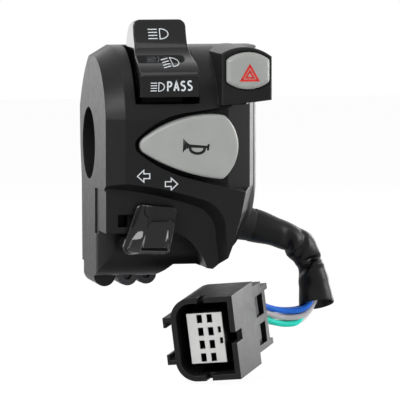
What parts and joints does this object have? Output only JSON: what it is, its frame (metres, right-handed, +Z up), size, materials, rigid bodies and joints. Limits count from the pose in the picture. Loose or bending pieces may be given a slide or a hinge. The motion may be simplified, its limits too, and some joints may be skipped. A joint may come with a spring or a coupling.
{
  "type": "handlebar switch cluster",
  "caption": "Two-part clamp case for a motorcycle handlebar with a dimmer and pass rocker, hazard and horn buttons, a sliding turn switch and a short harness with its connector.",
  "frame": {"origin": "on the handlebar's axis, at the middle of the clamped length", "axes": "+X along the handlebar from the case's outer end to its inner end, +Y away from the rider, +Z up; the switches face -Y"},
  "size_m": [0.0787, 0.0613, 0.1096],
  "materials": {
    "housing": "satin black moulded nylon",
    "knob_gloss": "gloss black",
    "button_grey": "satin light grey",
    "zinc_steel": "zinc plated",
    "spring_steel": "bright spring steel",
    "contact_brass": "bare brass",
    "base_nylon": "natural nylon",
    "gland_rubber": "matt black rubber",
    "sleeve_vinyl": "glossy black vinyl",
    "connector_black": "satin black",
    "connector_white": "satin natural white",
    "wire_blue": "vinyl",
    "wire_light_blue": "vinyl",
    "wire_green": "vinyl",
    "wire_grey": "vinyl",
    "wire_white": "vinyl",
    "wire_turquoise": "vinyl"
  },
  "bodies": {
    "case": {"front_housing": "housing", "rear_housing": "housing", "case_screws": "zinc_steel", "dimmer_base": "base_nylon", "dimmer_contacts": "contact_brass", "dimmer_pin": "zinc_steel", "dimmer_spring": "spring_steel", "hazard_base": "base_nylon", "hazard_spring": "spring_steel", "hazard_contacts": "contact_brass", "horn_base": "base_nylon", "horn_spring": "spring_steel", "horn_contact": "contact_brass", "turn_base": "base_nylon", "turn_contacts": "contact_brass", "base_screws": "zinc_steel", "harness_gland": "gland_rubber", "harness_sleeve": "sleeve_vinyl", "connector_shroud": "connector_black", "connector_insert": "connector_white", "connector_terminals": "contact_brass", "connector_seal": "gland_rubber", "wire_blue": "wire_blue", "wire_light_blue": "wire_light_blue", "wire_green": "wire_green", "wire_grey": "wire_grey", "wire_white": "wire_white", "wire_turquoise": "wire_turquoise"},
    "dimmer_rocker": {"dimmer_knob": "knob_gloss"},
    "dimmer_contact_slider": {"dimmer_slider": "base_nylon", "dimmer_wiper": "contact_brass"},
    "hazard": {"hazard_button": "button_grey"},
    "horn": {"horn_button": "button_grey"},
    "turn_slider": {"turn_carriage": "base_nylon", "turn_wiper": "contact_brass", "turn_ball": "spring_steel", "turn_ball_spring": "spring_steel", "cancel_spring": "spring_steel"},
    "turn_lever": {"turn_knob": "knob_gloss"}
  },
  "joints": [
    {"name": "dimmer_rock", "type": "hinge", "parent": "case", "child": "dimmer_rocker", "pos_m": [-0.00635, -0.016, 0.026], "axis": [1, 0, 0], "range_deg": [-5, 4.5]},
    {"name": "dimmer_slide", "type": "slide", "parent": "case", "child": "dimmer_contact_slider", "axis": [0, 1, 0], "range_m": [-0.0008, 0.0008], "deforming": ["dimmer_spring"]},
    {"name": "hazard_press", "type": "slide", "parent": "case", "child": "hazard", "axis": [0, 1, 0], "range_m": [0, 0.0025], "stiffness_N_per_m": 900, "springref_m": -0.001, "deforming": ["hazard_spring"]},
    {"name": "horn_press", "type": "slide", "parent": "case", "child": "horn", "axis": [0, 1, 0], "range_m": [0, 0.0025], "stiffness_N_per_m": 900, "springref_m": -0.001, "deforming": ["horn_spring"]},
    {"name": "turn_slide", "type": "slide", "parent": "case", "child": "turn_slider", "axis": [1, 0, 0], "range_m": [-0.0035, 0.0035]},
    {"name": "turn_cancel", "type": "slide", "parent": "turn_slider", "child": "turn_lever", "axis": [0, 1, 0], "range_m": [0, 0.0015], "stiffness_N_per_m": 600, "springref_m": -0.001, "deforming": ["cancel_spring"]}
  ],
  "couplings": [
    {"joint": "dimmer_slide", "follows": "dimmer_rock", "m_per_rad": 0.008}
  ]
}
